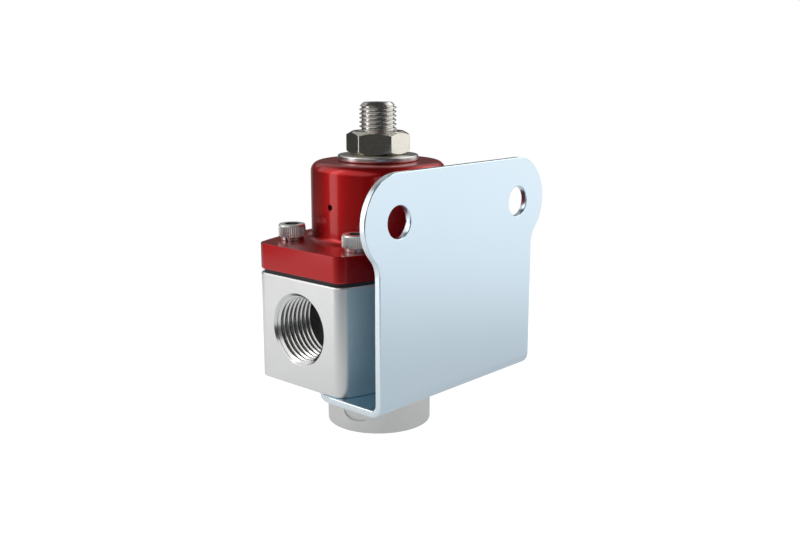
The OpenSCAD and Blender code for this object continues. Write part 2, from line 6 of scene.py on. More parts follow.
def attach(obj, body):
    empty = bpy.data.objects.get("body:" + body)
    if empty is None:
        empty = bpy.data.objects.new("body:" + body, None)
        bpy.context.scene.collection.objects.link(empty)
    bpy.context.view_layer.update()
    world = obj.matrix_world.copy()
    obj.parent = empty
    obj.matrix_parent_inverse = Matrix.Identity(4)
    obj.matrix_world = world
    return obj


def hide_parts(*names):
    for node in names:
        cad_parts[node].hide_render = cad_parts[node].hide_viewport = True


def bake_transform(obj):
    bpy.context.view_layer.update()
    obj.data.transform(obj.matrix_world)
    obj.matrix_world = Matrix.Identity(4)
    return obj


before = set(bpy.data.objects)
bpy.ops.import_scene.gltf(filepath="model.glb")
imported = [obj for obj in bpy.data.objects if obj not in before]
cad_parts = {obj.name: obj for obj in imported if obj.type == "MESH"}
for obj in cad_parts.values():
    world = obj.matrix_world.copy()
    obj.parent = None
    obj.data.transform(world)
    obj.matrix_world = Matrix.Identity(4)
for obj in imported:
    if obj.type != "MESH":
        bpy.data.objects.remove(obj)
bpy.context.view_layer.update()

print("frame loaded:", len(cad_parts), "nodes")

mm = 0.001  # pieces are shaped in millimetres and set to metres when they are placed


# camera, at the photograph's place

shot = {"turn": 132.18, "rise": 11.96, "away": 0.25817, "aside": 0.005627,
        "aim": (0, 0, 0.041145), "lens": 44.34, "film": 36, "nearest": 0.01}


def makeCamera():
    turn, rise = math.radians(shot["turn"]), math.radians(shot["rise"])
    back = Vector((math.sin(turn) * math.cos(rise), -math.cos(turn) * math.cos(rise), math.sin(rise)))
    right = Vector((math.cos(turn), math.sin(turn), 0))
    stand = Vector(shot["aim"]) + right * shot["aside"] + back * shot["away"]
    bpy.ops.object.camera_add(location=stand)
    camera = bpy.context.object
    camera.rotation_euler = (-back).to_track_quat("-Z", "Y").to_euler()
    camera.data.lens = shot["lens"]
    camera.data.sensor_width = shot["film"]
    camera.data.clip_start = shot["nearest"]
    bpy.context.scene.camera = camera


makeCamera()


# selection and shaping helpers

def clearAll():
    if bpy.context.object and bpy.context.object.mode != "OBJECT":
        bpy.ops.object.mode_set(mode="OBJECT")
    bpy.ops.object.select_all(action="DESELECT")


def only(obj):
    clearAll()
    obj.select_set(True)
    bpy.context.view_layer.objects.active = obj


def openAll(obj):  # edit mode with everything selected
    only(obj)
    bpy.ops.object.mode_set(mode="EDIT")
    bpy.ops.mesh.select_all(action="SELECT")


def added(name):
    obj = bpy.context.object
    obj.name = name
    only(obj)
    return obj


def settle(obj):  # place, turn and scale go into the mesh
    only(obj)
    bpy.ops.object.transform_apply(location=True, rotation=True, scale=True)


def moved(obj, turn, to=(0, 0, 0)):  # turned by degrees, then moved
    obj.rotation_euler = [math.radians(angle) for angle in turn]
    obj.location = to
    settle(obj)
    return obj


def joined(first, *others):
    only(first)
    for other in others:
        other.select_set(True)
    bpy.ops.object.join()


def pick(obj, kind, test):  # selects faces or edges by place and stays in edit mode
    only(obj)
    bpy.ops.object.mode_set(mode="EDIT")
    bpy.ops.mesh.select_mode(type=kind)
    bpy.ops.mesh.select_all(action="DESELECT")
    bpy.ops.object.mode_set(mode="OBJECT")
    points = obj.data.vertices
    if kind == "FACE":
        for face in obj.data.polygons:
            face.select = test(face.center, face.normal)
    else:
        for edge in obj.data.edges:
            edge.select = test(points[edge.vertices[0]].co, points[edge.vertices[1]].co)
    bpy.ops.object.mode_set(mode="EDIT")


def tidyMesh(obj, gap=0.0005):  # merged doubles, no loose bits, faces outward
    only(obj)
    bpy.ops.object.mode_set(mode="EDIT")
    bpy.ops.mesh.select_mode(type="VERT")
    bpy.ops.mesh.select_all(action="SELECT")
    bpy.ops.mesh.remove_doubles(threshold=gap)
    bpy.ops.mesh.delete_loose(use_verts=True, use_edges=True, use_faces=False)
    bpy.ops.mesh.select_all(action="SELECT")
    bpy.ops.mesh.normals_make_consistent(inside=False)
    bpy.ops.object.mode_set(mode="OBJECT")


def bake(obj, kind, **settings):  # one modifier, applied
    only(obj)
    mod = obj.modifiers.new(kind.lower(), kind)
    for key, value in settings.items():
        setattr(mod, key, value)
    bpy.ops.object.modifier_apply(modifier=mod.name)


def cutWith(obj, *cutters, how="DIFFERENCE"):
    for cutter in cutters:
        bake(obj, "BOOLEAN", object=cutter, operation=how, solver="EXACT")
        bpy.data.objects.remove(cutter)


def softEdges(obj, width, segments, angle):
    bake(obj, "BEVEL", width=width, segments=segments, limit_method="ANGLE",
         angle_limit=math.radians(angle), use_clamp_overlap=True, miter_outer="MITER_ARC")


def rod(name, r, low, high, sides=64, x=0, y=0, turn=0):  # plain round or many-sided cutter
    clearAll()
    bpy.ops.mesh.primitive_cylinder_add(vertices=sides, radius=r, depth=high - low,
                                        location=(x, y, (low + high) / 2),
                                        rotation=(0, 0, math.radians(turn)))
    obj = added(name)
    settle(obj)
    return obj


def drawn(name, points, fill="NGON"):  # closed outline through the points
    clearAll()
    bpy.ops.mesh.primitive_circle_add(vertices=len(points), radius=1, fill_type=fill)
    obj = added(name)
    for corner, point in zip(obj.data.vertices, points):
        corner.co = point
    return obj


def turned(name, outline, steps=96):  # outline of (radius, height) spun about the upright axis
    obj = drawn(name, [(r, 0, z) for r, z in outline], "NOTHING")
    openAll(obj)
    bpy.ops.mesh.spin(steps=steps, angle=2 * math.pi, center=(0, 0, 0), axis=(0, 0, 1))
    tidyMesh(obj)
    return obj


def trimmed(obj, level, up):  # cut off square above (1) or below (-1) a height, and closed
    openAll(obj)
    bpy.ops.mesh.bisect(plane_co=(0, 0, level), plane_no=(0, 0, up), use_fill=True, clear_outer=True)


def arc(cx, cy, r, start, end, count):  # points of a round, in degrees
    turns = [math.radians(start + (end - start) * i / count) for i in range(count + 1)]
    return [(cx + r * math.cos(turn), cy + r * math.sin(turn)) for turn in turns]


def hexR(acrossFlats):
    return acrossFlats / 2 / math.cos(math.radians(30))


block = {"length": 57, "width": 39.6, "endWidth": 28.5, "low": 15.35, "high": 42.35,
         "corner": 3.3, "lowBreak": 0.3, "highBreak": 0.45}


def blockForm(name, low, high, lowBreak, highBreak, inset=0, corner=block["corner"]):
    # flat ends, curved sides, round upright corners
    end, rise = block["length"] / 2, (block["width"] - block["endWidth"]) / 2
    sideR = (end ** 2 + rise ** 2) / (2 * rise)
    axis = sideR - block["width"] / 2
    x = end - corner
    y = math.sqrt((sideR - corner) ** 2 - x ** 2) - axis
    lean = math.degrees(math.asin(x / (sideR - corner)))
    quarter = arc(x, y, corner - inset, 0, 90 - lean, 8)
    quarter += arc(0, -axis, sideR - inset, 90 - lean, 90, 16)[1:]
    half = quarter + [(-px, py) for px, py in reversed(quarter[:-1])]
    outline = half + [(-px, -py) for px, py in half]
    obj = drawn(name, [(px, py, low) for px, py in outline])
    openAll(obj)
    bpy.ops.mesh.extrude_region_move(TRANSFORM_OT_translate={"value": (0, 0, high - low)})
    tidyMesh(obj)
    for level, amount in ((low, lowBreak), (high, highBreak)):
        pick(obj, "EDGE", lambda a, b: abs(a.z - level) < 0.01 and abs(b.z - level) < 0.01)
        bpy.ops.mesh.bevel(offset=amount, offset_type="OFFSET", segments=3, affect="EDGES")
    tidyMesh(obj)
    return obj


crest = {"landShare": 0.13, "drop": 0.04, "run": 0.02, "ease": 0.03}  # flat and rounding of a tooth


def threadedRod(name, rootR, crestR, pitch, low, high, steps=64, flankShare=0.31):
    # one tooth, wound up the rod, ends trimmed square
    flank, land = flankShare * pitch, crest["landShare"] * pitch
    tooth = [(rootR, 0), (rootR, pitch - 2 * flank - land),
             (crestR - crest["drop"], pitch - flank - land - crest["run"]),
             (crestR, pitch - flank - land + crest["ease"]), (crestR, pitch - flank - crest["ease"]),
             (crestR - crest["drop"], pitch - flank + crest["run"]), (rootR, pitch)]
    obj = drawn(name, [(r, 0, low - 2 * pitch + z) for r, z in tooth], "NOTHING")
    pick(obj, "EDGE", lambda a, b: abs(a.z - b.z) > 0.95 * pitch)
    bpy.ops.mesh.delete(type="EDGE_FACE")
    bake(obj, "SCREW", axis="Z", angle=2 * math.pi, screw_offset=pitch, steps=steps, render_steps=steps,
         iterations=int((high - low) / pitch) + 4, use_merge_vertices=False)
    tidyMesh(obj, 0.002)
    trimmed(obj, low, -1)
    trimmed(obj, high, 1)
    tidyMesh(obj)
    return obj


def place(obj, body, slot, paint, *nodes, angle=30, weigh=True):
    # metres, shading, paint and the body it rides on
    obj.data.transform(Matrix.Scale(mm, 4))
    only(obj)
    bpy.ops.object.shade_smooth_by_angle(angle=math.radians(angle))
    if weigh:
        bake(obj, "WEIGHTED_NORMAL", keep_sharp=True, weight=60)
    obj.data.materials.clear()
    obj.data.materials.append(paint)
    if body:  # a piece that stretches between two bodies is blended instead
        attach(obj, body)
    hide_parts(*nodes)
    print("placed", obj.name, len(obj.data.polygons), "faces")


def paintFaces(obj, paint, test):  # another finish on some faces of a placed piece
    obj.data.materials.append(paint)
    for face in obj.data.polygons:
        if test(face.center, face.normal):
            face.material_index = len(obj.data.materials) - 1


# finishes

class Wire:  # a socket that sums can be written with
    def __init__(self, tree, out):
        self.tree, self.out = tree, out

    def node(self, kind, settings, sockets, out=0):
        made = self.tree.nodes.new("ShaderNode" + kind)
        for key, value in settings.items():
            if key == "stops":
                while len(made.color_ramp.elements) < len(value):
                    made.color_ramp.elements.new(0.5)
                for stop, (at, shade) in zip(made.color_ramp.elements, value):
                    stop.position = at
                    stop.color = (shade, shade, shade, 1)
            else:
                setattr(made, key, value)
        for key, value in sockets.items():
            if isinstance(value, Wire):
                self.tree.links.new(value.out, made.inputs[key])
            else:
                made.inputs[key].default_value = value
        return Wire(self.tree, made.outputs[out])

    def maths(self, how, a, b):
        return self.node("Math", {"operation": how}, {0: a, 1: b})

    def __add__(self, other):
        return self.maths("ADD", self, other)

    def __radd__(self, other):
        return self.maths("ADD", other, self)

    def __sub__(self, other):
        return self.maths("SUBTRACT", self, other)

    def __rsub__(self, other):
        return self.maths("SUBTRACT", other, self)

    def __mul__(self, other):
        return self.maths("MULTIPLY", self, other)

    def __rmul__(self, other):
        return self.maths("MULTIPLY", other, self)

    def noise(self, scale, detail, stretch=(1, 1, 1)):  # a small number stretches it along that axis
        spread = self.node("Mapping", {}, {"Vector": self, "Scale": stretch})
        return self.node("TexNoise", {}, {"Vector": spread, "Scale": scale, "Detail": detail}, "Fac")

    def ramp(self, *stops):
        return self.node("ValToRGB", {"stops": stops}, {"Fac": self})

    def span(self, start, end, low, high, how="LINEAR"):  # start to end becomes low to high
        return self.node("MapRange", {"interpolation_type": how},
                         {0: self, 1: start, 2: end, 3: low, 4: high})

    def tint(self, low, high):  # colour between two shades, plain or wired
        low, high = [shade if isinstance(shade, Wire) else (*shade, 1) for shade in (low, high)]
        return self.node("Mix", {"data_type": "RGBA"}, {0: self, 6: low, 7: high}, 2)

    def axis(self, letter):
        return self.node("SeparateXYZ", {}, {0: self}, letter)

    def bump(self, strength, depth):
        return self.node("Bump", {}, {"Height": self, "Strength": strength, "Distance": depth}, "Normal")


def startPaint(name, **steady):
    paint = bpy.data.materials.new(name)
    paint.use_nodes = True
    tree = paint.node_tree
    shader = tree.nodes["Principled BSDF"]
    for key, value in steady.items():
        shader.inputs[key.replace("_", " ")].default_value = value
    spot = tree.nodes.new("ShaderNodeTexCoord")

    def feed(socket, wire):
        tree.links.new(wire.out, shader.inputs[socket])

    return paint, Wire(tree, spot.outputs["Object"]), feed


# broad clouds and fine grain in the colour, both a little in the gloss
metalLook = {"cloudScale": 90, "cloudDetail": 3, "cloudShare": 0.6, "shades": (0.3, 0.7),
             "cloudRough": 0.04, "bumpDepth": 0.0001}


def metalPaint(name, dark, light, rough, grain, streak=(1, 1, 1), wander=0.08, bump=0.05, **steady):
    look = metalLook
    paint, spot, feed = startPaint(name, Metallic=1.0, **steady)
    cloud = spot.noise(look["cloudScale"], look["cloudDetail"])
    fine = spot.noise(grain, 2, streak)
    low, high = look["shades"]
    mixed = cloud * look["cloudShare"] + fine * (1 - look["cloudShare"])
    feed("Base Color", mixed.ramp((low, 0.0), (high, 1.0)).tint(dark, light))
    feed("Roughness", rough - wander / 2 + fine * wander + (cloud - 0.5) * look["cloudRough"])
    if bump:
        feed("Normal", fine.bump(bump, look["bumpDepth"]))
    return paint


aluminium = metalPaint("satinAluminium", (0.70, 0.70, 0.69), (0.76, 0.76, 0.75),
                       rough=0.36, grain=2600, streak=(1, 1, 0.25))
boreMetal = metalPaint("machinedBore", (0.68, 0.68, 0.67), (0.78, 0.78, 0.77),
                       rough=0.2, grain=2600, streak=(0.25, 1, 1), bump=0.04)
# painted shade: a dark metal put in deep bores and sockets for the shade that falls in them
boreShade = metalPaint("boreShade", (0.20, 0.20, 0.195), (0.30, 0.30, 0.29),
                       rough=0.45, grain=2600, bump=0.04)
redAnodised = metalPaint("redAnodised", (0.405, 0.004, 0.005), (0.465, 0.007, 0.008),
                         rough=0.43, grain=2200, wander=0.05, bump=0.02,
                         Coat_Weight=0.58, Coat_Roughness=0.13, Coat_IOR=1.5)

zincLook = {"cloudScale": 26, "outer": ((0.645, 0.775, 0.865), (0.70, 0.82, 0.905)),
            "shadedInner": ((0.53, 0.75, 0.88), (0.585, 0.795, 0.925)), "change": (0.0263, 0.0266)}


def zincPaint():  # painted shade: bluer on the side that faces the block, for the blue shade there
    look = zincLook
    paint, spot, feed = startPaint("blueZinc", Metallic=1.0, Roughness=0.27)
    cloud = spot.noise(look["cloudScale"], 2)
    outer, shadedInner = cloud.tint(*look["outer"]), cloud.tint(*look["shadedInner"])
    feed("Base Color", spot.axis("Y").span(*look["change"], 1, 0).tint(outer, shadedInner))
    return paint


zinc = zincPaint()
zincEdge = metalPaint("zincEdge", (0.72, 0.81, 0.86), (0.79, 0.865, 0.90),
                      rough=0.27, grain=1500, wander=0.04, bump=0)
nickel = metalPaint("brightSteel", (0.67, 0.635, 0.57), (0.80, 0.77, 0.69),
                    rough=0.17, grain=1100, bump=0.1)
studSteel = metalPaint("studSteel", (0.64, 0.62, 0.59), (0.72, 0.70, 0.67),
                       rough=0.22, grain=500, wander=0.04, bump=0)
washerSteel = metalPaint("washerSteel", (0.54, 0.53, 0.51), (0.66, 0.65, 0.63), rough=0.3, grain=1800)
screwSteel = metalPaint("screwSteel", (0.80, 0.79, 0.76), (0.90, 0.89, 0.86), rough=0.42, grain=1800)
fittingGrey = metalPaint("fittingMetal", (0.66, 0.655, 0.635), (0.75, 0.745, 0.725),
                         rough=0.36, grain=2400, streak=(1, 1, 0.3))
pressed = metalPaint("pressedSteel", (0.52, 0.53, 0.54), (0.66, 0.67, 0.68),
                     rough=0.35, grain=1400, wander=0.1)
springSteel = metalPaint("springSteel", (0.26, 0.27, 0.29), (0.40, 0.41, 0.43),
                         rough=0.32, grain=1600, wander=0.1, bump=0.06)
brass = metalPaint("seatBrass", (0.66, 0.46, 0.17), (0.76, 0.56, 0.25),
                   rough=0.28, grain=1600, streak=(1, 1, 0.2))

rubberLook = {"grain": 2400, "dark": (0.008, 0.008, 0.009), "light": (0.025, 0.025, 0.027),
              "rough": 0.55, "wander": 0.2, "bump": 0.2, "bumpDepth": 0.0001}


def rubberPaint():
    look = rubberLook
    paint, spot, feed = startPaint("blackRubber", Metallic=0.0)
    grain = spot.noise(look["grain"], 3)
    feed("Base Color", grain.tint(look["dark"], look["light"]))
    feed("Roughness", look["rough"] + grain * look["wander"])
    feed("Normal", grain.bump(look["bump"], look["bumpDepth"]))
    return paint


rubber = rubberPaint()
print("finishes mixed")


# body block with its two threaded ports

port = {"axisUp": 29.85, "rootR": 8.7, "crestR": 8.0, "pitch": 1.411, "threadEnd": 17.3, "floor": 15.0,
        "mouth": 28.5, "mouthR": 9.05, "passageR": 4.8, "passageIn": 3.8, "lap": 0.5,
        "shadeFrom": 3.6}
bore = {"low": 14, "counterR": 11.15, "counterTop": 16.865, "shankR": 9.575, "shankTop": 25, "wellR": 7.6,
        "chamberLow": 35.55, "chamberR": 13.4, "high": 44}
screwHole = {"outX": 19.7, "outY": 11.4, "tappedR": 2.13, "tapFloor": 33.6, "clearR": 2.23, "clearTop": 52}
screwSpots = [(sx * screwHole["outX"], sy * screwHole["outY"]) for sx in (-1, 1) for sy in (-1, 1)]


def screwHoles(r, low, high):
    return [rod("screwHole", r, low, high, 32, x, y) for x, y in screwSpots]


def threadedHole(floor, mouth):  # cutters for a port along the upright axis: thread, chamfered mouth
    thread = threadedRod("portThread", port["crestR"], port["rootR"], port["pitch"], floor, mouth + 1)
    rise = port["mouthR"] - port["crestR"]
    cone = turned("portMouth", [(0, mouth - rise - 1), (port["crestR"] - 1, mouth - rise - 1),
                                (port["mouthR"] + 1, mouth + 1), (0, mouth + 1)])
    return thread, cone


def makeBody():
    p, b = port, bore
    obj = blockForm("bodyBlock", block["low"], block["high"], block["lowBreak"], block["highBreak"])
    cutWith(obj, turned("bodyBore", [
        (0, b["low"]), (b["counterR"], b["low"]), (b["counterR"], b["counterTop"]),
        (b["shankR"], b["counterTop"]), (b["shankR"], b["shankTop"]), (b["wellR"], b["shankTop"]),
        (b["wellR"], b["chamberLow"]), (b["chamberR"], b["chamberLow"]), (b["chamberR"], b["high"]),
        (0, b["high"])]))
    for side in (0, 180):
        cutters = [*threadedHole(p["threadEnd"], p["mouth"]),
                   rod("portEnd", p["crestR"], p["floor"], p["threadEnd"] + p["lap"], 96),
                   rod("passage", p["passageR"], p["passageIn"], p["floor"] + p["lap"])]
        for cutter in cutters:
            moved(cutter, (0, 90, side), (0, 0, p["axisUp"]))
        cutWith(obj, *cutters)
    cutWith(obj, *screwHoles(screwHole["tappedR"], screwHole["tapFloor"], b["high"]))
    place(obj, "housing", "body_aluminium", aluminium, "body")
    reach, up, end = p["mouthR"] * mm, p["axisUp"] * mm, block["length"] / 2 * mm
    start, change, skin = p["shadeFrom"] * mm, p["threadEnd"] * mm, 0.01 * mm

    def inPort(middle):
        return math.hypot(middle.y, middle.z - up) < reach and start < abs(middle.x) < end - skin

    # threads are cut bright; painted shade: the deep end of the bore is painted dark
    paintFaces(obj, boreMetal, lambda middle, normal: inPort(middle) and abs(middle.x) > change)
    paintFaces(obj, boreShade, lambda middle, normal: inPort(middle) and abs(middle.x) <= change)


makeBody()


# red bonnet: flange and tower in one turned and milled piece

bonnet = {"flangeLow": 43.15, "flangeTop": 49.7, "edge": 0.2, "towerR": 17.25, "towerTop": 69.0,
          "topR": 2.5, "footR": 1.4, "root": 1.5, "ventUp": 58.6, "ventR": 0.75, "ventCut": (10, 20)}
springRoom = {"low": 42, "mouthR": 13.8, "mouthTop": 44.35, "r": 12.6, "roof": 62.1,
              "studR": 4.8125, "studMouthR": 5.3, "studBreak": 0.5}


def makeBonnet():
    b, room = bonnet, springRoom
    r, top, foot, fillet, footR = b["towerR"], b["towerTop"], b["flangeTop"], b["topR"], b["footR"]
    tower = turned("tower", [(0, foot - b["root"]), (r + footR, foot - b["root"]),
                             *arc(r + footR, foot + footR, footR, 270, 180, 8),
                             *arc(r - fillet, top - fillet, fillet, 0, 90, 12), (0, top)], 128)
    obj = blockForm("bonnetCasting", b["flangeLow"], foot, block["highBreak"], b["edge"])
    cutWith(obj, tower, how="UNION")
    cutWith(obj, turned("springRoom", [
        (0, room["low"]), (room["mouthR"], room["low"]), (room["mouthR"], b["flangeLow"]),
        (room["r"], room["mouthTop"]), (room["r"], room["roof"]), (room["studR"], room["roof"]),
        (room["studR"], top - room["studBreak"]), (room["studMouthR"], top),
        (room["studMouthR"], top + 1), (0, top + 1)]))
    vent = moved(rod("vent", b["ventR"], *b["ventCut"], 32), (0, 90, 0), (0, 0, b["ventUp"]))
    cutWith(obj, vent, *screwHoles(screwHole["clearR"], room["low"], screwHole["clearTop"]))
    place(obj, "housing", "red_anodised", redAnodised, "bonnet")


makeBonnet()


# bracket: sheet bent at the foot

bracket = {"halfW": 29.0, "outerY": 27.9, "thick": 1.7, "bendR": 3.2, "footZ": 16.85, "legZ": 13.65,
           "earX": 22.55, "holeZ": 58.7, "earR": 11.2, "blendR": 6.0, "shoulderY": 11.6,
           "shoulderR": 8.5, "endR": 17.5, "holeR": 3.8, "legHoleR": 9.825, "edge": 0.28,
           "holeCut": (-5, 5), "legCut": (10, 18), "earRim": 0.3, "sideRim": 0.5}


def makeBracket():
    b = bracket
    blendX = b["halfW"] + b["blendR"]
    drop = math.sqrt((b["earR"] + b["blendR"]) ** 2 - (blendX - b["earX"]) ** 2)
    lean = math.degrees(math.atan2(drop, blendX - b["earX"]))
    half = [(b["halfW"], b["footZ"]), *arc(blendX, b["holeZ"] - drop, b["blendR"], 180, 180 - lean, 10),
            *arc(b["earX"], b["holeZ"], b["earR"], -lean, 90, 24)[1:]]
    plate = half + [(-x, z) for x, z in reversed(half)]
    obj = drawn("mountBracket", [(x, b["outerY"], z) for x, z in plate])
    # the bend grows from the plate's lower edge
    pick(obj, "EDGE", lambda p, q: abs(p.z - b["footZ"]) < 0.01 and abs(q.z - b["footZ"]) < 0.01)
    bpy.ops.mesh.spin(steps=10, angle=math.radians(90), axis=(1, 0, 0),
                      center=(0, b["outerY"] - b["bendR"], b["footZ"]))
    # leg, a second flat sheet joined on
    shoulderX = b["halfW"] - b["shoulderR"]
    reach = math.hypot(shoulderX, b["shoulderY"])
    slope = math.degrees(math.atan2(b["shoulderY"], shoulderX)
                         - math.acos((b["endR"] - b["shoulderR"]) / reach))
    side = [(b["halfW"], b["outerY"] - b["bendR"]),
            *arc(shoulderX, b["shoulderY"], b["shoulderR"], 0, slope, 8)]
    leg = side + arc(0, 0, b["endR"], slope, -180 - slope, 40) + [(-x, y) for x, y in reversed(side)]
    joined(obj, drawn("legSheet", [(x, y, b["legZ"]) for x, y in leg]))
    tidyMesh(obj, 0.01)
    looks = [face.normal.y for face in obj.data.polygons if abs(face.center.y - b["outerY"]) < 0.01]
    if min(looks) < 0:  # the plate's outer face looks along +y
        openAll(obj)
        bpy.ops.mesh.flip_normals()
        bpy.ops.object.mode_set(mode="OBJECT")
    bake(obj, "SOLIDIFY", thickness=b["thick"], offset=-1, use_even_offset=True)
    tidyMesh(obj)
    holes = [moved(rod("boltHole", b["holeR"], *b["holeCut"]), (90, 0, 0),
                   (s * b["earX"], b["outerY"], b["holeZ"])) for s in (-1, 1)]
    cutWith(obj, *holes, rod("legHole", b["legHoleR"], *b["legCut"], 96))
    softEdges(obj, b["edge"], 3, 50)
    place(obj, "housing", "zinc_steel", zinc, "bracket")

    def onRim(middle, normal):
        x, y, z = abs(middle.x) / mm, middle.y / mm, middle.z / mm
        onEar = z > b["holeZ"] and math.hypot(x - b["earX"], z - b["holeZ"]) > b["earR"] - b["earRim"]
        onPlate = abs(normal.y) < 0.5 and (x > b["halfW"] - b["sideRim"] or onEar)
        return onPlate or (abs(normal.z) < 0.5 and z < b["footZ"] and y < b["outerY"] - b["bendR"])

    paintFaces(obj, zincEdge, onRim)  # the rim is painted paler and less blue than the sheet


makeBracket()


# bottom fitting with wrench flats and the return port

fitting = {"r": 13.65, "high": 13.65, "shankR": 9.525, "shankTop": 24.65, "edge": 0.35, "topEdge": 0.3,
           "flatTurn": 18, "flatIn": 0.7, "flatW": 8.0, "flatCorner": 3.3, "flatUp": 3.05,
           "returnDepth": 12.5, "seatBoreR": 2.4, "seatBore": (10, 17.2), "seatR": 4.0,
           "seatGrip": (16.65, 26)}


def makeFitting():
    f = fitting
    r, high, e, top = f["r"], f["high"], f["edge"], f["topEdge"]
    obj = turned("returnFitting", [(0, 0), (r - e, 0), *arc(r - e, e, e, -90, 0, 4)[1:],
                                   *arc(r - top, high - top, top, 0, 90, 3), (f["shankR"], high),
                                   (f["shankR"], f["shankTop"]), (0, f["shankTop"])], 128)
    thread, cone = threadedHole(-f["returnDepth"], 0)
    for cutter in (thread, cone):
        moved(cutter, (180, 0, 0))
    cutWith(obj, thread, cone, rod("seatBore", f["seatBoreR"], *f["seatBore"], 48),
            rod("seatGrip", f["seatR"], *f["seatGrip"], 48))
    for turn in (f["flatTurn"], f["flatTurn"] + 180):
        clearAll()
        bpy.ops.mesh.primitive_cube_add(size=1)
        flat = added("flatCutter")
        flat.scale = (f["flatIn"] + 2, f["flatW"], high)
        flat.location = (r + 1 - f["flatIn"] / 2, 0, f["flatUp"] + high / 2)
        settle(flat)
        pick(flat, "EDGE", lambda a, b: abs(a.x - b.x) > 1 and max(a.z, b.z) < f["flatUp"] + 0.1)
        bpy.ops.mesh.bevel(offset=f["flatCorner"], offset_type="OFFSET", segments=8, affect="EDGES")
        bpy.ops.object.mode_set(mode="OBJECT")
        cutWith(obj, moved(flat, (0, 0, turn)))
    place(obj, "housing", "fitting_metal", fittingGrey, "bottom_fitting")


makeFitting()


# adjusting stud, jam nut and flat washer

stud = {"crestR": 4.7625, "rootR": 4.14, "pitch": 1.0583, "low": 61.25, "top": 83.7, "bevel": 0.9,
        "chamfer": 1.1, "noseR": 3.0, "noseLow": 59.65, "noseBreak": 0.3, "noseLap": 0.4,
        "socketAf": 4.76, "socketDepth": 5.5, "steps": 72, "flankShare": 0.33,
        "cutUnder": 0.5, "cutPast": 0.2}
nut = {"af": 14.29, "low": 70.6, "top": 76.5, "turn": 7, "faceInset": 0.6, "slope": 30, "boreR": 4.8125,
       "mouthR": 6.2, "mouthDrop": 0.4, "edge": 0.34, "smallEdge": 0.1}
washer = {"r": 10.32, "boreR": 5.15, "low": 69.0, "top": 70.6, "edge": 0.42, "boreBreak": 0.2}


def makeStud():
    s = stud
    obj = threadedRod("adjustingStud", s["rootR"], s["crestR"], s["pitch"], s["low"], s["top"],
                      s["steps"], s["flankShare"])
    r, e, c, low, top = s["crestR"], s["bevel"], s["chamfer"], s["low"], s["top"]
    under, past = s["cutUnder"], s["cutPast"]
    cutWith(obj, turned("studEnds", [(0, low - under), (r - e - under, low - under),
                                     (r + past, low + e + past), (r + past, top - c - past),
                                     (r - c, top), (0, top)]), how="INTERSECT")
    cutWith(obj, rod("studSocket", hexR(s["socketAf"]), top - s["socketDepth"], top + 1, 6))
    noseR, noseLow, ease, lap = s["noseR"], s["noseLow"], s["noseBreak"], s["noseLap"]
    nose = turned("studNose", [(0, noseLow), (noseR - ease, noseLow), (noseR, noseLow + ease),
                               (noseR, low + lap), (0, low + lap)], 48)
    cutWith(obj, nose, how="UNION")
    place(obj, "adjuster", "bright_steel", studSteel, "adjusting_screw")


def makeNut():
    n = nut
    cornerR, faceR = hexR(n["af"]), n["af"] / 2 - n["faceInset"]
    drop = (cornerR - faceR) * math.tan(math.radians(n["slope"]))
    low, top, mouthR = n["low"], n["top"], n["mouthR"]
    obj = rod("jamNut", cornerR, low, top, 6, turn=n["turn"] - 30)
    softEdges(obj, n["edge"], 4, 40)
    cutWith(obj, turned("nutDome", [(0, low), (faceR, low), (cornerR, low + drop), (cornerR, top - drop),
                                    (faceR, top), (0, top)], 128), how="INTERSECT")
    cutWith(obj, turned("nutBore", [(0, low - 1), (mouthR, low - 1), (n["boreR"], low + n["mouthDrop"]),
                                    (n["boreR"], top - n["mouthDrop"]), (mouthR, top + 1), (0, top + 1)], 64))
    softEdges(obj, n["smallEdge"], 2, 20)
    place(obj, "nut", "bright_steel", nickel, "lock_nut")


def makeWasher():
    w = washer
    r, e, low, top = w["r"], w["edge"], w["low"], w["top"]
    obj = turned("flatWasher", [(w["boreR"], low), *arc(r - e, low + e, e, -90, 0, 5),
                                *arc(r - e, top - e, e, 0, 90, 5), (w["boreR"] + w["boreBreak"], top),
                                (w["boreR"], top - w["boreBreak"])], 128)
    place(obj, "nut_washer", "bright_steel", washerSteel, "washer")


makeStud()
makeNut()
makeWasher()


# cap screws and their split washers

capScrew = {"headR": 3.45, "coreR": 3.25, "ridges": 44, "low": 50.7, "top": 53.75, "knurlShort": 0.62,
            "knurlTaper": 0.22, "taperIn": 0.02, "neckIn": 0.1, "neckDrop": 0.6, "crownDrop": 0.5,
            "crownOut": 0.08, "crownEdge": 0.3, "socketAf": 3.57, "socketDepth": 2.1, "shankR": 2.08,
            "shankRoot": 1.65, "pitch": 0.794, "tip": 34.8, "lap": 0.3, "turns": (12, 31, 40, 46)}
splitWasher = {"r": 3.0, "boreR": 2.23, "low": 49.7, "top": 50.7, "edge": 0.1, "slit": (3, 0.5, 4),
               "slitIn": 0.5, "lean": 25, "turns": (100, 215, 20, 300)}


def atScrews(model, name, turns):  # a copy with its own mesh at each screw, joined to one piece
    copies = []
    for (x, y), turn in zip(screwSpots, turns):
        copy = model.copy()
        copy.data = model.data.copy()
        bpy.context.scene.collection.objects.link(copy)
        copies.append(moved(copy, (0, 0, turn), (x, y, 0)))
    bpy.data.objects.remove(model)
    joined(*copies)
    copies[0].name = name
    return copies[0]


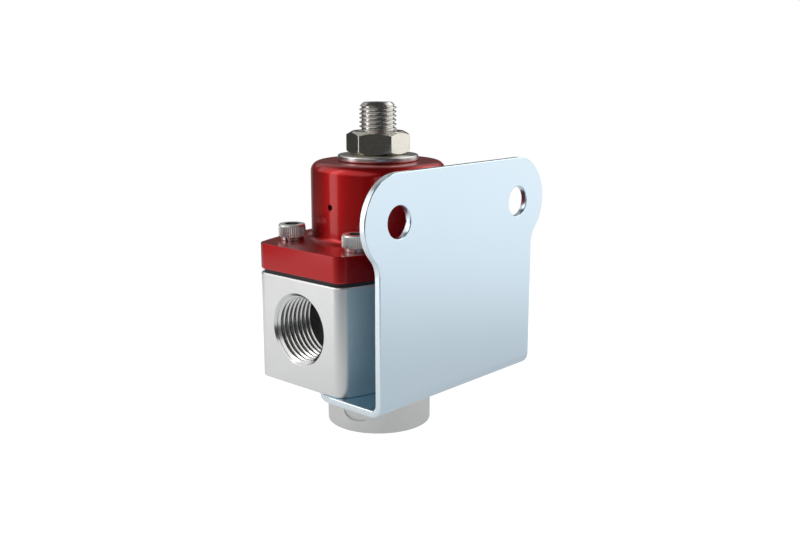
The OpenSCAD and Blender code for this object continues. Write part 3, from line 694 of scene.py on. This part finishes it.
def makeCapScrews():
    c = capScrew
    low, top, coreR, headR = c["low"], c["top"], c["coreR"], c["headR"]
    head = rod("knurl", headR, low, top - c["knurlShort"], 4 * c["ridges"])
    for point in head.data.vertices:
        around = math.atan2(point.co.y, point.co.x) * c["ridges"]
        point.co.xy = point.co.xy.normalized() * (headR - (headR - coreR) * (0.5 - 0.5 * math.cos(around)))
    pick(head, "FACE", lambda middle, normal: normal.z > 0.9)
    bpy.ops.mesh.extrude_region_move(TRANSFORM_OT_translate={"value": (0, 0, c["knurlTaper"])})
    bpy.ops.transform.resize(value=(coreR / headR - c["taperIn"],) * 2 + (1,), center_override=(0, 0, 0))
    bpy.ops.object.mode_set(mode="OBJECT")
    r, e, neckR = coreR + c["crownOut"], c["crownEdge"], coreR - c["neckIn"]
    crown = turned("crown", [(0, low), (neckR, low), (neckR, top - c["neckDrop"]), (r, top - c["crownDrop"]),
                             *arc(r - e, top - e, e, 0, 90, 4), (0, top)], 64)
    cutWith(head, crown, how="UNION")
    cutWith(head, rod("socket", hexR(c["socketAf"]), top - c["socketDepth"], top + 1, 6))
    joined(head, threadedRod("shank", c["shankRoot"], c["shankR"], c["pitch"], c["tip"], low + c["lap"], 32))
    obj = atScrews(head, "capScrews", c["turns"])
    place(obj, "housing", "screw_steel", screwSteel, "cap_screws", angle=24, weigh=False)
    floor, skin, reach = (top - c["socketDepth"]) * mm, 0.01 * mm, c["socketAf"] * 0.6 * mm

    def inSocket(middle, normal):
        near = min(math.hypot(middle.x - x * mm, middle.y - y * mm) for x, y in screwSpots)
        return near < reach and floor - skin < middle.z < top * mm - skin

    paintFaces(obj, boreShade, inSocket)  # painted shade: the sockets are painted dark


def makeSplitWashers():
    w = splitWasher
    r, boreR, low, top, e = w["r"], w["boreR"], w["low"], w["top"], w["edge"]
    ring = turned("splitRing", [(boreR, low), (r - e, low), (r, low + e), (r, top - e), (r - e, top),
                                (boreR, top)], 64)
    clearAll()
    bpy.ops.mesh.primitive_cube_add(size=1, location=(r - w["slitIn"], 0, (low + top) / 2),
                                    rotation=(math.radians(w["lean"]), 0, 0))
    slit = added("slit")
    slit.scale = w["slit"]
    settle(slit)
    cutWith(ring, slit)
    obj = atScrews(ring, "splitWashers", w["turns"])
    place(obj, "housing", "screw_steel", washerSteel, "lock_washers")


makeCapScrews()
makeSplitWashers()


# diaphragm: clamped sheet, free roll and the middle that the plates hold

diaphragm = {"low": 42.35, "top": 43.15, "edge": 0.15, "inset": 0.45, "corner": 5, "rollIn": 11.7,
             "rollOut": 13.3, "stemR": 2.15, "sectors": 12, "bendTo": 12.85}


def makeDiaphragm():
    d = diaphragm
    low, top, e = d["low"], d["top"], d["edge"]
    sheet = blockForm("diaphragmSheet", low, top, e, e, d["inset"], d["corner"])
    cutWith(sheet, rod("rollRoom", d["rollOut"], low - 1, top + 1, 96),
            *screwHoles(screwHole["clearR"], low - 1, top + 1))
    place(sheet, "housing", "black_rubber", rubber, "diaphragm")
    middle = turned("diaphragmMiddle", [(d["stemR"], low), (d["rollIn"], low), (d["rollIn"], top),
                                        (d["stemR"], top)])
    place(middle, "valve", "black_rubber", rubber, "diaphragm")
    # the roll stretches outward from the middle to the sheet, sector by sector
    share = 2 * math.pi / d["sectors"]
    for i in range(d["sectors"]):
        clearAll()
        bpy.ops.mesh.primitive_grid_add(x_subdivisions=8, y_subdivisions=8, size=1)
        roll = added("diaphragmRoll.%02d" % (i + 1))
        for point in roll.data.vertices:
            r = d["rollIn"] + (point.co.x + 0.5) * (d["rollOut"] - d["rollIn"])
            around = share * (i + point.co.y)
            point.co = (r * math.cos(around), r * math.sin(around), low)
        bake(roll, "SOLIDIFY", thickness=top - low, offset=1)
        tidyMesh(roll)
        place(roll, None, "black_rubber", rubber, "diaphragm")
        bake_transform(roll)


makeDiaphragm()


# spring in two lengths of one coil: the lower follows the cup, the upper follows the button

spring = {"wireR": 0.9, "meanR": 9.1, "low": 44.4, "top": 57.35, "openTurns": 2.75, "grind": 0.45,
          "endRise": 2.02, "steps": 48, "sides": 20, "splitTurn": 1.7, "splitUp": 0.0494,
          "followUp": 0.0455, "followTop": 0.0562}  # the last three in metres


def coilHeight(turn):  # a flat end turn, the open turns, a flat end turn
    c = spring
    low, top = c["low"] + c["grind"], c["top"] - c["grind"]
    lie = c["endRise"] * c["wireR"]  # a closed end turn climbs by a wire
    rise = top - low - 2 * lie
    if turn < 1:
        return low + lie * turn
    if turn > 1 + c["openTurns"]:
        return top - lie * (2 + c["openTurns"] - turn)
    return low + lie + rise * (turn - 1) / c["openTurns"]


def makeCoil(name, first, last, level, up):  # a length of the coil, ground flat at its end
    c = spring
    clearAll()
    bpy.ops.mesh.primitive_circle_add(vertices=c["sides"], radius=c["wireR"], fill_type="NOTHING",
                                      rotation=(math.radians(90), 0, 0))
    coil = added(name)
    coil.location = (c["meanR"], 0, 0)
    settle(coil)
    wire = [point.co.copy() for point in coil.data.vertices]
    rings = round((last - first) * c["steps"])
    bake(coil, "SCREW", axis="Z", angle=math.radians(90), screw_offset=1, steps=rings, render_steps=rings,
         use_merge_vertices=False)
    for i, point in enumerate(coil.data.vertices):  # each ring goes to its turn and height
        turn = first + (last - first) * (i // c["sides"]) / rings
        ring = wire[i % c["sides"]]
        around = 2 * math.pi * turn
        point.co = (ring.x * math.cos(around), ring.x * math.sin(around), ring.z + coilHeight(turn))
    openAll(coil)
    bpy.ops.mesh.fill_holes(sides=0)
    trimmed(coil, level, up)
    tidyMesh(coil)
    place(coil, None, "spring_steel", springSteel, "spring")
    return coil


def makeSpring():
    c = spring
    lower = makeCoil("springLower", 0, c["splitTurn"], c["low"], -1)
    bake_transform(lower)
    upper = makeCoil("springUpper", c["splitTurn"], c["openTurns"] + 2, c["top"], 1)
    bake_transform(upper)


makeSpring()


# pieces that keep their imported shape

keptPaints = {"valve_disc": rubber, "fitting_oring": rubber, "lower_plate": pressed, "spring_cup": pressed,
              "rivet_washer": pressed, "valve_stem": pressed, "spring_button": pressed, "valve_seat": brass}
for name, paint in keptPaints.items():
    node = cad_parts[name]
    node.data.materials.clear()
    node.data.materials.append(paint)
print("kept", len(keptPaints), "packed pieces")


# floor, backdrop light and softboxes

# the table's glow holds painted shade round the object and towards the lens
table = {"left": 0.26, "right": 0.36, "near": 0.24, "far": 0.16, "under": 0.0002,
         "shade": (0.12, 0.14, 0.16), "mottle": 0.02, "mottleScale": 40, "shadePool": (0.02, 0.2),
         "glow": (0.52, 0.86), "shadePoolAside": 0.05, "fade": (0.07, 0.25), "dim": (0.08, 0.14, 0.18)}
surround = 0.05
softboxAim = 0.045
softboxes = {  # turn from the camera's direction, right positive; lift and size in metres
    "leftSide": {"turn": -79, "lift": 0.05, "away": 0.6, "wide": 0.18, "tall": 1.3, "bright": 2.3},
    "leftFront": {"turn": -46, "lift": 0.0, "away": 0.6, "wide": 0.48, "tall": 1.2, "bright": 0.1},
    "rightSide": {"turn": 105, "lift": 0.11, "away": 0.6, "wide": 0.84, "tall": 1.2, "bright": 1.05},
    "behind": {"turn": 180, "lift": 0.56, "away": 0.6, "wide": 1.2, "tall": 0.6, "bright": 0.42},
    "behindLeft": {"turn": -166, "lift": -0.05, "away": 0.6, "wide": 0.36, "tall": 0.3, "bright": 0.32},
    "topLeft": {"turn": -68, "lift": 0.36, "away": 0.42, "wide": 1.4, "tall": 0.45, "bright": 0.95},
    "topRight": {"turn": 100, "lift": 0.45, "away": 0.42, "wide": 1.0, "tall": 0.4, "bright": 0.8},
}
lensTurn = math.radians(shot["turn"])
ahead = Vector((math.sin(lensTurn), -math.cos(lensTurn), 0))  # from the object to the lens, level
right = Vector((math.cos(lensTurn), math.sin(lensTurn), 0))


def makeTable():
    t = table
    clearAll()
    middle = ahead * (t["near"] - t["far"]) / 2 + right * (t["right"] - t["left"]) / 2
    bpy.ops.mesh.primitive_plane_add(size=1, rotation=(0, 0, lensTurn), location=middle)
    floor = added("floor")
    floor.scale = (t["left"] + t["right"], t["near"] + t["far"], 1)
    floor.location.z = -t["under"]
    settle(floor)
    paint, spot, feed = startPaint("paleTable", Roughness=0.9, Emission_Strength=1.0)
    paler = [part + t["mottle"] for part in t["shade"]]
    feed("Base Color", spot.noise(t["mottleScale"], 2).tint(t["shade"], paler))
    # painted shade: the glow is lower near the object, round a middle set to one side
    shifted = spot.node("Mapping", {}, {"Vector": spot, "Location": -right * t["shadePoolAside"]})
    away = spot.node("VectorMath", {"operation": "LENGTH"}, {0: shifted}, "Value")
    shadePool = away.span(*t["shadePool"], *t["glow"], "SMOOTHSTEP")
    toLens = spot.node("VectorMath", {"operation": "DOT_PRODUCT"}, {0: spot, 1: ahead}, "Value")
    fade = toLens.span(*t["fade"], 0, 1, "SMOOTHSTEP")
    lit = fade.tint(shadePool.tint((0, 0, 0), (1, 1, 1)), t["dim"])
    # painted light and shade: the table glows for reflections, lower in a pool round the object and dimmer
    # towards the lens; plain white to the lens
    seen = spot.node("LightPath", {}, {}, "Is Camera Ray")
    feed("Emission Color", seen.tint(lit, (1, 1, 1)))
    floor.data.materials.append(paint)


def makeAir():
    world = bpy.data.worlds.new("studioAir")
    bpy.context.scene.world = world
    world.use_nodes = True
    tree = world.node_tree
    seen = Wire(tree, tree.nodes.new("ShaderNodeLightPath").outputs["Is Camera Ray"])
    shade = seen * (1 - surround) + surround
    tree.links.new(shade.out, tree.nodes["Background"].inputs["Strength"])
    tree.nodes["Background"].inputs["Color"].default_value = (1, 1, 1, 1)


def makeLights():
    aim = Vector((0, 0, softboxAim))
    for name, s in softboxes.items():
        turn = math.radians(s["turn"])
        level = (ahead * math.cos(turn) + right * math.sin(turn)) * s["away"]
        where = level + Vector((0, 0, s["lift"]))
        clearAll()
        bpy.ops.object.light_add(type="AREA", location=where)
        lamp = bpy.context.object
        lamp.name = name + "Softbox"
        lamp.rotation_euler = (aim - where).to_track_quat("-Z", "Y").to_euler()
        lamp.data.shape = "RECTANGLE"
        lamp.data.size, lamp.data.size_y = s["wide"], s["tall"]
        lamp.data.energy = math.pi * s["wide"] * s["tall"] * s["bright"]
        lamp.visible_camera = False


makeTable()
makeAir()
makeLights()
bpy.context.scene.view_settings.view_transform = "Standard"
bpy.context.scene.cycles.glossy_bounces = 10  # bracket and block pass light on many times
print("stage lit")
